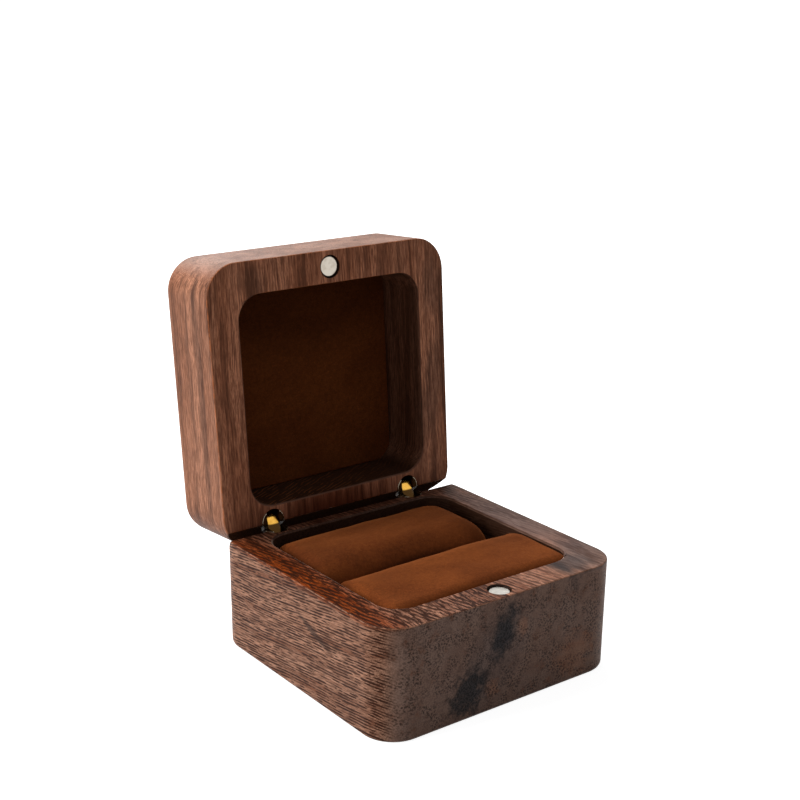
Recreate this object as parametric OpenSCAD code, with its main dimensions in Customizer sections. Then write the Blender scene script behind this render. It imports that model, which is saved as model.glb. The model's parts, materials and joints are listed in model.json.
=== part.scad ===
// Ring display box in walnut.
// A square base and a shallower lid are joined at the back by two brass
// barrel hinges and held shut at the front by a pair of disc magnets.
// The base holds a suede ring cushion of two rolls, the lid a suede liner.
// Frame: X to the right, Y to the back, Z up, origin under the middle of the
// base. The part is drawn with the lid standing open against its end stop.

/* [Box] */
// Width of base and lid, left to right
box_w = 50; // [48:1:90]
// Depth of base and lid, front to back
box_d = 50; // [46:1:90]
// Height of the base
base_h = 20; // [18:0.5:40]
// Height of the lid
lid_h = 15; // [14:0.5:30]
// Radius of the upright outer corners
corner_r = 6; // [4:0.5:9]
// Gap between the two rims when the box is shut
rim_gap = 0.15; // [0.05:0.05:0.5]
// Easing of every rim edge
rim_ease = 0.35; // [0.1:0.05:0.6]
// Rounding of the edge round the foot of the base
foot_round = 0.8; // [0.4:0.1:2.5]
// Rounding of the edge round the top of the lid
lid_round = 2.1; // [0.5:0.1:3]

/* [Pockets] */
// Side walls of the base pocket
base_side_wall = 5.5; // [4:0.1:9]
// Side walls of the lid pocket
lid_side_wall = 6; // [4:0.1:9]
// Radius of the pocket corners
pocket_r = 4.5; // [2:0.5:7]
// Wood left under the base pocket
base_floor = 5; // [2:0.5:7]
// Wood left over the lid pocket
lid_roof = 3; // [2.5:0.1:3.5]

/* [Hinges] */
// Distance from the middle of a hinge to the nearer side face
hinge_inset = 10; // [8:0.5:14]
// Diameter of the brass barrels
barrel_d = 4.6; // [4.2:0.1:6]
// Length of each barrel
barrel_len = 9; // [6:0.5:11]
// Clearance all round a barrel in its bore
barrel_fit = 0.03; // [0.01:0.01:0.1]
// Wood between a barrel bore and the back face
barrel_skin_out = 1.25; // [1:0.05:2]
// Wood between a barrel bore and the pocket
barrel_skin_in = 0.7; // [0.5:0.05:2]
// Depth of the pins below the mouths of the barrels
pin_depth = 1.4; // [1.3:0.05:1.8]
// Diameter of the hinge pins
pin_d = 0.9; // [0.6:0.05:1.1]
// Shortfall of a pin end from the round of its barrel
pin_short = 0.1; // [0.05:0.05:0.4]
// Clearance all round a pin in the barrel
pin_seat_fit = 0.01; // [0.005:0.005:0.02]
// Clearance all round a pin in the link plates
pin_run_fit = 0.04; // [0.02:0.01:0.08]
// Thickness of one link plate
plate_t = 0.8; // [0.5:0.05:0.9]
// Gap on each side of a link plate
plate_gap = 0.05; // [0.03:0.01:0.1]
// Wall of a link plate round its pin
plate_wall = 0.65; // [0.5:0.05:0.8]
// Clearance of the plates at the bottom of a barrel slot
slot_clear = 0.3; // [0.2:0.05:0.8]
// Distance from the hinge line to the bevel on a barrel mouth
barrel_bevel = 0.3; // [0.1:0.05:0.4]
// Width of the glue grooves round a barrel
groove_w = 0.5; // [0.3:0.05:0.8]
// Depth of the glue grooves round a barrel
groove_depth = 0.2; // [0.1:0.05:0.35]
// Distance between glue grooves
groove_pitch = 1.6; // [1:0.1:2]
// Swing of the link plates from shut to open, degrees
link_swing = 40.5; // [36:0.5:44]
// Swing of the lid on the link plates from shut to open, degrees
lid_swing = 54; // [50:0.5:56]

/* [Rear bevels] */
// Width of the bevel cut off the back of the base rim
base_bevel = 4.4; // [3.5:0.1:4.8]
// Width of the bevel cut off the back of the lid rim
lid_bevel = 3.5; // [3.3:0.1:4.6]

/* [Magnets] */
// Diameter of the magnets
magnet_d = 4; // [3:0.1:6]
// Thickness of the magnets
magnet_t = 2; // [1:0.1:3]
// Clearance all round a magnet in its bore
magnet_fit = 0.05; // [0.02:0.01:0.15]
// Depth of a magnet face below the rim
magnet_sink = 0.15; // [0.05:0.05:0.4]
// Wood on each side of a magnet bore
magnet_skin = 0.85; // [0.5:0.05:2]

/* [Cushion] */
// Gap between the cushion and the pocket walls
cushion_gap = 0.2; // [0.1:0.05:0.5]
// Gap between the two rolls where the ring is held
ring_slot = 0.4; // [0.2:0.05:1]
// Thickness of the board under the rolls
board_t = 1; // [0.5:0.1:2]
// Height of the rolls over the rim
roll_crest = 0.4; // [0:0.1:2]
// Rise of a roll from its shoulders to its crest
roll_crown = 0.8; // [0.2:0.1:1.5]
// Rounding of the shoulders of a roll
roll_shoulder = 3.4; // [2:0.2:4]
// Radius of the upright corners of a roll
roll_corner = 4; // [3.4:0.2:5]
// Thickness of the suede cover
suede_t = 0.7; // [0.4:0.05:1.2]
// Gap between the foam and its cover
foam_gap = 0.05; // [0.02:0.01:0.1]

/* [Lid liner] */
// Thickness of the liner board
liner_board_t = 1.2; // [0.6:0.1:1.6]
// Thickness of the suede on the liner board
liner_suede_t = 0.6; // [0.3:0.05:0.9]
// Gap between the liner and the pocket walls
liner_gap = 0.15; // [0.1:0.05:0.3]

/* [Hidden] */

$fn = 64;
// Segments of the rounds that a hull joins
hull_fn = 32;
// Steps in a quarter round
arc_steps = 6;
// Overshoot of a cut past the face it opens
cut = 1;
// Thickness of a plate that only guides a hull
leaf = 0.01;

// Walls that follow from what they hold
barrel_bore_d = barrel_d + 2 * barrel_fit;
magnet_bore_d = magnet_d + 2 * magnet_fit;
rear_wall = barrel_skin_out + barrel_bore_d + barrel_skin_in;
front_wall = 2 * magnet_skin + magnet_bore_d;

// Places of the hinges and magnets
hinge_y = box_d / 2 - barrel_skin_out - barrel_bore_d / 2;
hinge_x = box_w / 2 - hinge_inset;
magnet_y = -box_d / 2 + front_wall / 2;
shut_z = base_h + rim_gap;

// The bevels lie on one another's slope when the lid stands open
open_angle = link_swing + lid_swing;
bevel_slope = open_angle / 2;

// Pin centres, shut and open
pin_pitch = 2 * pin_depth + rim_gap;
low_pin = [0, hinge_y, base_h - pin_depth];
high_pin_shut = [0, hinge_y, shut_z + pin_depth];
high_pin_open = low_pin + pin_pitch * [0, sin(link_swing), cos(link_swing)];

// Link plates
plate_r = pin_d / 2 + plate_wall;
plate_pitch = plate_t + plate_gap;
slot_w = 3 * plate_t + 4 * plate_gap;
slot_depth = pin_depth + plate_r + slot_clear;
plate_hole_d = pin_d + 2 * pin_run_fit;
pin_hole_d = pin_d + 2 * pin_seat_fit;
pin_len = 2 * (sqrt(pow(barrel_d / 2, 2) - pow(pin_d / 2, 2)) - pin_short);
groove_n = max(1, floor((barrel_len - slot_depth - groove_w) / groove_pitch));

// Pockets
pocket_d = box_d - front_wall - rear_wall;
pocket_y = (front_wall - rear_wall) / 2;
base_pocket_w = box_w - 2 * base_side_wall;
lid_pocket_w = box_w - 2 * lid_side_wall;

// Rolls of the cushion
cushion_w = base_pocket_w - 2 * cushion_gap;
cushion_d = pocket_d - 2 * cushion_gap;
roll_d = (cushion_d - ring_slot) / 2;
roll_z = base_floor + board_t;
roll_h = base_h + roll_crest - roll_z;
roll_y = (roll_d + ring_slot) / 2;

// Lid liner
liner_w = lid_pocket_w - 2 * liner_gap;
liner_d = pocket_d - 2 * liner_gap;
liner_z = shut_z + lid_h - lid_roof;

// Colours
walnut = [0.36, 0.22, 0.14];
brass = [0.83, 0.66, 0.28];
steel = [0.76, 0.74, 0.69];
suede = [0.52, 0.31, 0.18];
board = [0.45, 0.40, 0.34];
foam = [0.86, 0.83, 0.72];

// Moves a shape drawn for the shut lid to the open lid
module on_open_lid() {
    translate(high_pin_open)
        rotate([-open_angle, 0, 0])
            translate(-high_pin_shut)
                children();
}

// Moves a shape drawn for the shut links to the open links
module on_open_links() {
    translate(low_pin)
        rotate([-link_swing, 0, 0])
            translate(-low_pin)
                children();
}

// Turns a shape of the base over, rim to rim, into the shut lid
module turned_over() {
    translate([0, 0, shut_z + base_h])
        mirror([0, 0, 1])
            children();
}

// Places children at the four corners of a rectangle
module at_corners(w, d, r) {
    for (x = [-1, 1], y = [-1, 1])
        translate([x * (w / 2 - r), y * (d / 2 - r), 0])
            children();
}

// Upright post with a quarter round at one end and an eased edge at the other
module block_post(h, r, round_r, ease) {
    rotate_extrude($fn = hull_fn)
        polygon(concat(
            [[0, 0]],
            [for (i = [0:arc_steps]) let (a = 90 * i / arc_steps)
                [r - round_r + round_r * sin(a), round_r - round_r * cos(a)]],
            [[r, h - ease], [r - ease, h], [0, h]]
        ));
}

// Block with its rim at the top and its rounded edge at the bottom
module eased_block(w, d, h, r, round_r) {
    hull()
        at_corners(w, d, r)
            block_post(h, r, round_r, rim_ease);
}

// Upright slab with round corners, drawn up from z = 0
module slab(w, d, h, r) {
    translate([-w / 2 + r, -d / 2, 0])
        cube([w - 2 * r, d, h]);
    translate([-w / 2, -d / 2 + r, 0])
        cube([w, d - 2 * r, h]);
    at_corners(w, d, r)
        cylinder(h = h, r = r);
}

// Pocket cut with an eased edge, open upward at rim height
module pocket_cut(w, depth, rim) {
    translate([0, pocket_y, rim - depth])
        slab(w, pocket_d, depth + cut, pocket_r);
    hull() {
        translate([0, pocket_y, rim - rim_ease])
            hull_leaf(w, pocket_d, pocket_r);
        translate([0, pocket_y, rim])
            hull_leaf(w + 2 * rim_ease, pocket_d + 2 * rim_ease, pocket_r + rim_ease);
    }
}

// Thin guide plate for a hull
module hull_leaf(w, d, r) {
    at_corners(w, d, r)
        cylinder(h = leaf, r = r, $fn = hull_fn);
}

// Wedge that bevels whatever stands behind a line on the base rim
module bevel_wedge(line_y, w) {
    run = box_d;
    drop = run * tan(bevel_slope);
    rotate([90, 0, 90])
        linear_extrude(height = w, center = true)
            polygon([[line_y, base_h], [line_y + run, base_h - drop],
                [line_y + run, base_h + cut], [line_y, base_h + cut]]);
}

// Wood of one half with its rim at base_h, before it is placed
module wood_half(h, round_r, pocket_w, pocket_depth, bevel) {
    difference() {
        translate([0, 0, base_h - h])
            eased_block(box_w, box_d, h, corner_r, round_r);
        pocket_cut(pocket_w, pocket_depth, base_h);
        bevel_wedge(box_d / 2 - bevel, box_w + 2 * cut);
        for (x = [-hinge_x, hinge_x])
            translate([x, hinge_y, base_h - barrel_len])
                cylinder(h = barrel_len + cut, d = barrel_bore_d);
        translate([0, magnet_y, base_h - magnet_sink - magnet_t])
            cylinder(h = magnet_t + magnet_sink + cut, d = magnet_bore_d);
    }
}

// Barrel of the base at the middle, its mouth level with the rim
module barrel() {
    difference() {
        translate([0, hinge_y, base_h - barrel_len])
            cylinder(h = barrel_len, d = barrel_d);
        translate([-slot_w / 2, hinge_y - barrel_d, base_h - slot_depth])
            cube([slot_w, 2 * barrel_d, slot_depth + cut]);
        bevel_wedge(hinge_y + barrel_bevel, barrel_d + 2 * cut);
        translate([-barrel_d, hinge_y, base_h - pin_depth])
            rotate([0, 90, 0])
                cylinder(h = 2 * barrel_d, d = pin_hole_d);
        for (i = [0:groove_n - 1])
            translate([0, hinge_y, base_h - barrel_len + groove_w + i * groove_pitch])
                groove();
    }
}

// Glue groove round a barrel
module groove() {
    rotate_extrude()
        translate([barrel_d / 2 - groove_depth, 0])
            square([groove_depth + cut, groove_w]);
}

// Hinge pin across a barrel
module pin(at) {
    translate([-pin_len / 2, at[1], at[2]])
        rotate([0, 90, 0])
            cylinder(h = pin_len, d = pin_d);
}

// Link plate i of three, from pin to pin
module plate(i) {
    translate([(i - 1) * plate_pitch - plate_t / 2, hinge_y, low_pin[2]])
        rotate([90, 0, 90])
            difference() {
                hull()
                    for (z = [0, pin_pitch])
                        translate([0, z, 0])
                            cylinder(h = plate_t, r = plate_r, $fn = hull_fn);
                for (z = [0, pin_pitch])
                    translate([0, z, -cut])
                        cylinder(h = plate_t + 2 * cut, d = plate_hole_d);
            }
}

// Disc magnet of the base
module magnet() {
    translate([0, magnet_y, base_h - magnet_sink - magnet_t])
        cylinder(h = magnet_t, d = magnet_d);
}

// Post of a pillow, round at the top
module pillow_post(h, r, shoulder) {
    rotate_extrude($fn = hull_fn)
        polygon(concat(
            [[0, 0], [r, 0]],
            [for (i = [0:arc_steps]) let (a = 90 * i / arc_steps)
                [r - shoulder + shoulder * cos(a), h - shoulder + shoulder * sin(a)]],
            [[0, h]]
        ));
}

// Upholstered roll, crowned along its length, drawn up from z = 0
module pillow(w, d, h, r, shoulder, crown) {
    hull() {
        at_corners(w, d, r)
            pillow_post(h - crown, r, shoulder);
        translate([0, 0, h - leaf])
            cube([w - 4 * shoulder, d / 4, 2 * leaf], center = true);
    }
}

// Foam of one roll, y = -1 for the front and 1 for the back
module foam_roll(y) {
    skin = suede_t + foam_gap;
    translate([0, pocket_y + y * roll_y, roll_z])
        pillow(cushion_w - 2 * skin, roll_d - 2 * skin, roll_h - skin,
            roll_corner - skin, roll_shoulder - skin, roll_crown);
}

// Suede cover of one roll, open where the roll stands on its board
module roll_cover(y) {
    translate([0, pocket_y + y * roll_y, roll_z])
        difference() {
            pillow(cushion_w, roll_d, roll_h, roll_corner, roll_shoulder, roll_crown);
            translate([0, 0, -leaf])
                pillow(cushion_w - 2 * suede_t, roll_d - 2 * suede_t, roll_h - suede_t + leaf,
                    roll_corner - suede_t, roll_shoulder - suede_t, roll_crown);
        }
}

module base_block() {
    color(walnut)
        wood_half(base_h, foot_round, base_pocket_w, base_h - base_floor, base_bevel);
}

module lid_block() {
    color(walnut)
        on_open_lid()
            turned_over()
                wood_half(lid_h, lid_round, lid_pocket_w, lid_h - lid_roof, lid_bevel);
}

module base_magnet() {
    color(steel)
        magnet();
}

module lid_magnet() {
    color(steel)
        on_open_lid()
            turned_over()
                magnet();
}

module base_barrel(x) {
    color(brass)
        translate([x, 0, 0])
            barrel();
}

module lid_barrel(x) {
    color(brass)
        on_open_lid()
            turned_over()
                translate([x, 0, 0])
                    barrel();
}

module base_pin(x) {
    color(brass)
        translate([x, 0, 0])
            pin(low_pin);
}

module lid_pin(x) {
    color(brass)
        on_open_lid()
            translate([x, 0, 0])
                pin(high_pin_shut);
}

module link_plate(x, i) {
    color(brass)
        on_open_links()
            translate([x, 0, 0])
                plate(i);
}

module cushion_board() {
    color(board)
        translate([0, pocket_y, base_floor])
            slab(cushion_w, cushion_d, board_t, roll_corner);
}

module liner_board() {
    color(board)
        on_open_lid()
            translate([0, pocket_y, liner_z - liner_board_t])
                slab(liner_w, liner_d, liner_board_t, pocket_r - liner_gap);
}

module liner_suede() {
    color(suede)
        on_open_lid()
            translate([0, pocket_y, liner_z - liner_board_t - liner_suede_t])
                slab(liner_w, liner_d, liner_suede_t, pocket_r - liner_gap);
}

base_block();
lid_block();
base_magnet();
lid_magnet();
base_barrel(-hinge_x);  // left_base_barrel
lid_barrel(-hinge_x);  // left_lid_barrel
base_pin(-hinge_x);  // left_base_pin
lid_pin(-hinge_x);  // left_lid_pin
link_plate(-hinge_x, 0);  // left_plate_outer
link_plate(-hinge_x, 1);  // left_plate_middle
link_plate(-hinge_x, 2);  // left_plate_inner
base_barrel(hinge_x);  // right_base_barrel
lid_barrel(hinge_x);  // right_lid_barrel
base_pin(hinge_x);  // right_base_pin
lid_pin(hinge_x);  // right_lid_pin
link_plate(hinge_x, 0);  // right_plate_inner
link_plate(hinge_x, 1);  // right_plate_middle
link_plate(hinge_x, 2);  // right_plate_outer
cushion_board();
color(foam) foam_roll(-1);  // front_foam
color(suede) roll_cover(-1);  // front_cover
color(foam) foam_roll(1);  // back_foam
color(suede) roll_cover(1);  // back_cover
liner_board();
liner_suede();
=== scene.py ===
"""Looks of a walnut ring display box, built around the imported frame.

Modelled here: the wooden halves, the suede rolls, the lid liner, the link
blocks of the hinges, the lips of their barrels and the magnet discs. The
barrels, the pins and the boards are the frame's own nodes.
"""
import json
import math

import bmesh
import bpy
from mathutils import Matrix, Vector, noise


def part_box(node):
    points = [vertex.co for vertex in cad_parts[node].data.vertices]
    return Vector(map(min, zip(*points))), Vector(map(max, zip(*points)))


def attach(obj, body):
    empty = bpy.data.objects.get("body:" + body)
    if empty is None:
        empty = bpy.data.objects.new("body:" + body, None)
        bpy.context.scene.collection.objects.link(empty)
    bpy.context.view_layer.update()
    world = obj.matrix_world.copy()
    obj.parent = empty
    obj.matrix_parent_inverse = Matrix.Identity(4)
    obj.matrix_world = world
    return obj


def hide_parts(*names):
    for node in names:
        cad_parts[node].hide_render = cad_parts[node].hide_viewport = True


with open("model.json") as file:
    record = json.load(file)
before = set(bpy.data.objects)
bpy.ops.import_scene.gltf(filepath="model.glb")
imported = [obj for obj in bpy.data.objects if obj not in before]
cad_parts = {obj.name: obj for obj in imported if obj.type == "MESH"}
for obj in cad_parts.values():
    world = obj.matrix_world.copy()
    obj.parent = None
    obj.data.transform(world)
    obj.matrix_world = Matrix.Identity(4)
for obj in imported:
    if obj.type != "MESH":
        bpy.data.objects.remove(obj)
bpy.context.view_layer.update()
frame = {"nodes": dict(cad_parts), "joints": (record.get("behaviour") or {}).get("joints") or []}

MM = 0.001
TINY = 1e-9

# Wooden halves, in the half frame: rim at z = 0, wood below it, hinges at +Y
CORNER_R = 6 * MM
CORNER_STEPS = 20
POCKET_R = 4.5 * MM
POCKET_STEPS = 14
BORE_STEPS = 56
CUSHION_GAP = 0.2 * MM
LINER_GAP = 0.15 * MM
BARREL_FIT = 0.03 * MM
MAGNET_FIT = 0.05 * MM
BASE_BEVEL = 4.4 * MM
LID_BEVEL = 3.5 * MM

# How far the cutters stand above the rim
CUT = 1 * MM

# Rounding of the edges; the bevel modifier has the widest, and each edge a share of it
RIM_EASE = 0.25 * MM
POCKET_EASE = 0.38 * MM
CREASE_EASE = 0.18 * MM
BORE_EASE = 0.1 * MM
POCKET_FILLET = 0.6 * MM
FOOT_ROUND = 0.8 * MM
LID_ROUND = 2.1 * MM
WIDEST_ROUND = LID_ROUND
ROUND_SEGMENTS = 5
FLAT_WEIGHT = 80

# Edges bent more than this are rounded, and distances below NEAR count as none
SHARP = math.radians(28)
NEAR = 0.02 * MM
SAME_POINT = NEAR / 4

# The normal of a rear bevel has more than this of +Y and of +Z
BEVEL_FACING = 0.3

# Suede rolls: steps of their grid, then shape of their sides
SHOULDER_STEPS = 12
LONG_STEPS = 56
DEEP_STEPS = 16
SIDE_LEVELS = 6
PLAN_POWER = 2.5
ARCH_IN_DEPTH = 0.6
WAIST = 0.012
TUCK = 0.02
TUCK_POWER = 4
LINER_ROUND = 0.35 * MM

# Uneven lie of the suede: a broad wave with a finer one on it
RUFFLE = 0.22 * MM
RUFFLE_WAVE = 7 * MM
RUFFLE_STRETCH = (0.8, 1.3)
RUFFLE_SINK = 0.3
FINE_RUFFLE = 0.4 * RUFFLE
FINE_WAVES = 2.3

# Link blocks of the hinges
LINK_STEPS = 24
LINK_END_STEPS = 16
LINK_CROWN = 0.55 * MM
CROWN_POWER = 2.6

# Height in millimetres below which a link block gets painted shade, and over how far it fades in
LINK_SHADE_BELOW = 20.75
LINK_SHADE_OVER = 0.25

# Lips on the barrels: radius of their section, then where along the mouth they run
LIP = 0.1 * MM
LIP_SUNK = 0.6 * LIP
LIP_FROM = 1.36 * MM
LIP_TO = 0.2 * MM
LIP_STEPS = 14
LIP_SIDES = 8

# Magnet discs, and edges of the barrels
MAGNET_ROUND = 0.12 * MM
MAGNET_ROUND_STEPS = 6
MAGNET_SEAT = 0.26 * MM
MAGNET_SUNK = 0.25 * MM
BARREL_EASE = 0.08 * MM
BARREL_SHARP = math.radians(40)
BARREL_SEGMENTS = 2

# Camera
CAMERA_AT = Vector((-140.697, -179.935, 115.648)) * MM
CAMERA_AZIMUTH = -37.6265
CAMERA_ELEVATION = 21.0837
CAMERA_ROLL = 0.6708
CAMERA_LENS = 64.448
CAMERA_SHIFT = (-0.00875, 0.13125)
CAMERA_CLIP = (1 * MM, 100)
SENSOR = 36

# Lamps: name, place, target, width and watts
LAMPS = (("key", (-0.5, 0.18, 0.2), (0, 0, 0.03), 0.3, 3.2),
         ("top", (-0.1, 0.27, 0.52), (0, 0, 0.03), 0.34, 3.2),
         ("back", (0.1, 0.6, 0.4), (0, 0, 0.05), 0.5, 2.8))

# World and floor; the floor's glow rises between two distances in millimetres
WHITE = (1, 1, 1, 1)
SKY = (0.95, 0.97, 1.0, 1)
SKY_STRENGTH = 0.26
FLOOR_REACH = 20
FLOOR_LIT = (0.4, 0.4, 0.4, 1)
FLOOR_SEEN = (0.5, 0.5, 0.5, 1)
GLOW_NEAR, GLOW_FAR = 120.0, 500.0
GLOW_LOW, GLOW_FULL = 0.9, 1.0


# ---------------------------------------------------------------- frame ----

def joint(name):
    """The record of a joint."""
    return next(j for j in frame["joints"] if j["name"] == name)


def turn_x(degrees):
    """Rotation about X."""
    return Matrix.Rotation(math.radians(degrees), 4, "X")


def placements():
    """Where the half frame stands for the base and for the open lid, and the slope of the rear bevels."""
    link, lid = joint("left_link_swing"), joint("lid_swing")
    low, high_open = Vector(link["pos_m"]), Vector(lid["pos_m"])
    link_swing, lid_swing = link["range_deg"][1], lid["range_deg"][1]
    base_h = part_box("base_block")[1].z
    high_shut = low + turn_x(link_swing) @ (high_open - low)
    shut_z = high_shut.z - (base_h - low.z)
    low.x = high_open.x = high_shut.x = 0
    base = Matrix.Translation((0, 0, base_h))
    turned_over = Matrix.Translation((0, 0, shut_z)) @ Matrix.Rotation(math.pi, 4, "Y")
    open_angle = link_swing + lid_swing
    lid_open = (Matrix.Translation(high_open) @ turn_x(-open_angle)
                @ Matrix.Translation(-high_shut) @ turned_over)
    return base, lid_open, math.radians(open_angle / 2)


BASE_PLACE, LID_PLACE, BEVEL_SLOPE = placements()


def half_box(node, place):
    """Lowest and highest corner of a CAD node in the half frame."""
    back = place.inverted()
    points = [back @ v.co for v in frame["nodes"][node].data.vertices]
    low = Vector(min(p[i] for p in points) for i in range(3))
    high = Vector(max(p[i] for p in points) for i in range(3))
    return low, high


# --------------------------------------------------------------- meshes ----

def new_object(name, mesh, place=Matrix.Identity(4)):
    """Object of a mesh, in the scene at a place."""
    piece = bpy.data.objects.new(name, mesh)
    bpy.context.scene.collection.objects.link(piece)
    piece.matrix_world = place
    return piece


def mesh_from(bm, name):
    """Mesh of a finished bmesh, with outward normals."""
    bmesh.ops.recalc_face_normals(bm, faces=bm.faces)
    mesh = bpy.data.meshes.new(name)
    bm.to_mesh(mesh)
    bm.free()
    return mesh


def stack(name, rings):
    """Closed solid through a stack of rings with the same number of points."""
    bm = bmesh.new()
    rows = [[bm.verts.new(p) for p in ring] for ring in rings]
    count = len(rows[0])
    for low, high in zip(rows, rows[1:]):
        for i in range(count):
            j = (i + 1) % count
            bm.faces.new((low[i], low[j], high[j], high[i]))
    bm.faces.new(reversed(rows[0]))
    bm.faces.new(rows[-1])
    for face in bm.faces:
        face.smooth = len(face.verts) == 4
    return new_object(name, mesh_from(bm, name))


def rounded_rectangle(low, high, radius, steps):
    """Points of a rectangle with round corners, counter-clockwise."""
    points = []
    corners = ((high.x, high.y, 0), (low.x, high.y, 90), (low.x, low.y, 180), (high.x, low.y, 270))
    for x, y, start in corners:
        cx = x - math.copysign(radius, x - (low.x + high.x) / 2)
        cy = y - math.copysign(radius, y - (low.y + high.y) / 2)
        for i in range(steps + 1):
            a = math.radians(start + 90 * i / steps)
            points.append((cx + radius * math.cos(a), cy + radius * math.sin(a)))
    return points


def circle(x, y, radius, steps):
    """Points of a circle, counter-clockwise."""
    turn = 2 * math.pi / steps
    return [(x + radius * math.cos(turn * i), y + radius * math.sin(turn * i)) for i in range(steps)]


def prism(name, outline, z0, z1):
    """Upright prism over an outline."""
    return stack(name, [[(x, y, z) for x, y in outline] for z in (z0, z1)])


def bevel_wedge(line_y, width, run):
    """Wedge over the plane that falls away behind a line on the rim."""
    drop = run * math.tan(BEVEL_SLOPE)
    section = [(line_y, 0), (line_y + run, -drop), (line_y + run, CUT), (line_y, CUT)]
    return stack("wedge", [[(x, y, z) for y, z in section] for x in (-width, width)])


def carve(piece, cutters):
    """Cuts the cutters out of a piece and removes them."""
    for cutter in cutters:
        modifier = piece.modifiers.new("cut", "BOOLEAN")
        modifier.operation = "DIFFERENCE"
        modifier.solver = "EXACT"
        modifier.object = cutter
    graph = bpy.context.evaluated_depsgraph_get()
    carved = bpy.data.meshes.new_from_object(piece.evaluated_get(graph))
    piece.modifiers.clear()
    piece.data = carved
    for cutter in cutters:
        bpy.data.objects.remove(cutter)


class HalfSizes:
    """What the frame says about one wooden half, in the half frame."""

    def __init__(self, side, place, board, gap, bevel, far_round):
        self.low, self.high = half_box(f"{side}_block", place)
        self.depth = -self.low.z
        board_low, board_high = half_box(board, place)
        grow = Vector((gap, gap, 0))
        self.pocket_low, self.pocket_high = board_low - grow, board_high + grow
        self.floor = board_low.z
        barrel_low, barrel_high = half_box(f"left_{side}_barrel", place)
        self.bore_x = abs(barrel_low.x + barrel_high.x) / 2
        self.bore_y = (barrel_low.y + barrel_high.y) / 2
        self.bore_r = (barrel_high.x - barrel_low.x) / 2 + BARREL_FIT
        self.bore_floor = barrel_low.z
        magnet_low, magnet_high = half_box(f"{side}_magnet", place)
        self.magnet_y = (magnet_low.y + magnet_high.y) / 2
        self.magnet_r = (magnet_high.x - magnet_low.x) / 2 + MAGNET_FIT
        self.magnet_floor = magnet_low.z
        self.line_y = self.high.y - bevel
        self.far_round = far_round


def ease_of(s, edge):
    """How far an edge of a wooden half is rounded."""
    a, b = (v.co for v in edge.verts)
    middle = (a + b) / 2
    if abs(a.z + s.depth) < NEAR and abs(b.z + s.depth) < NEAR:
        return s.far_round
    in_bore = (abs(abs(middle.x) - s.bore_x) < s.bore_r + NEAR
               and math.hypot(abs(middle.x) - s.bore_x, middle.y - s.bore_y) < s.bore_r + NEAR)
    in_magnet = math.hypot(middle.x, middle.y - s.magnet_y) < s.magnet_r + NEAR
    if in_bore or in_magnet:
        return BORE_EASE if middle.z > s.bore_floor / 2 and middle.z > s.magnet_floor / 2 else 0
    if abs(a.z - s.floor) < NEAR and abs(b.z - s.floor) < NEAR:
        return POCKET_FILLET
    if abs(a.z) < NEAR and abs(b.z) < NEAR:
        if abs(a.y - s.line_y) < NEAR and abs(b.y - s.line_y) < NEAR:
            return CREASE_EASE
        in_pocket = abs(middle.x) < s.pocket_high.x + NEAR and abs(middle.y) < s.pocket_high.y + NEAR
        return POCKET_EASE if in_pocket else RIM_EASE
    return CREASE_EASE


def ease_edges(piece, s):
    """Rounds the sharp edges of a wooden half, each by its own amount."""
    bm = bmesh.new()
    bm.from_mesh(piece.data)
    bmesh.ops.remove_doubles(bm, verts=bm.verts, dist=SAME_POINT)
    bmesh.ops.dissolve_degenerate(bm, edges=bm.edges, dist=SAME_POINT)
    weight = bm.edges.layers.float.new("bevel_weight_edge")
    for edge in bm.edges:
        if len(edge.link_faces) == 2 and edge.calc_face_angle() > SHARP:
            edge[weight] = ease_of(s, edge) / WIDEST_ROUND
    for face in bm.faces:
        face.smooth = True
        on_bevel = face.normal.y > BEVEL_FACING and face.normal.z > BEVEL_FACING
        face.material_index = 1 if on_bevel else 0
    bm.to_mesh(piece.data)
    bm.free()
    modifier = piece.modifiers.new("eased edges", "BEVEL")
    modifier.limit_method = "WEIGHT"
    modifier.offset_type = "OFFSET"
    modifier.width = WIDEST_ROUND
    modifier.segments = ROUND_SEGMENTS
    modifier.use_clamp_overlap = False
    modifier.harden_normals = False
    modifier.material = 0
    modifier.miter_outer = "MITER_SHARP"
    normals = piece.modifiers.new("flat faces stay flat", "WEIGHTED_NORMAL")
    normals.keep_sharp = True
    normals.weight = FLAT_WEIGHT


def wood_half(name, s):
    """One wooden half in the half frame."""
    piece = prism(name, rounded_rectangle(s.low, s.high, CORNER_R, CORNER_STEPS), -s.depth, 0)
    pocket = rounded_rectangle(s.pocket_low, s.pocket_high, POCKET_R, POCKET_STEPS)
    cutters = [prism("pocket", pocket, s.floor, CUT),
               bevel_wedge(s.line_y, s.high.x - s.low.x, s.high.y - s.low.y)]
    for x in (-s.bore_x, s.bore_x):
        cutters.append(prism("bore", circle(x, s.bore_y, s.bore_r, BORE_STEPS), s.bore_floor, CUT))
    cutters.append(prism("magnet bore", circle(0, s.magnet_y, s.magnet_r, BORE_STEPS), s.magnet_floor, CUT))
    carve(piece, cutters)
    ease_edges(piece, s)
    return piece


# ---------------------------------------------------------------- suede ----

class Roll:
    """Shape of a suede roll: its box, and how far each side is rounded."""

    def __init__(self, low, high, left, right, front, back):
        self.low, self.high = low, high
        self.left, self.right, self.front, self.back = left, right, front, back


def stations(low, high, r_low, r_high, flat_steps):
    """Places across a roll, as (place, share of the shoulder, radius there)."""
    found = []
    shares = [math.cos(math.pi / 2 * i / SHOULDER_STEPS) for i in range(SHOULDER_STEPS)]
    for share in shares:
        found.append((low + r_low * (1 - share), -share, r_low))
    for i in range(flat_steps + 1):
        found.append((low + r_low + (high - r_high - low - r_low) * i / flat_steps, 0, r_low))
    for share in reversed(shares):
        found.append((high - r_high * (1 - share), share, r_high))
    return found


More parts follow.
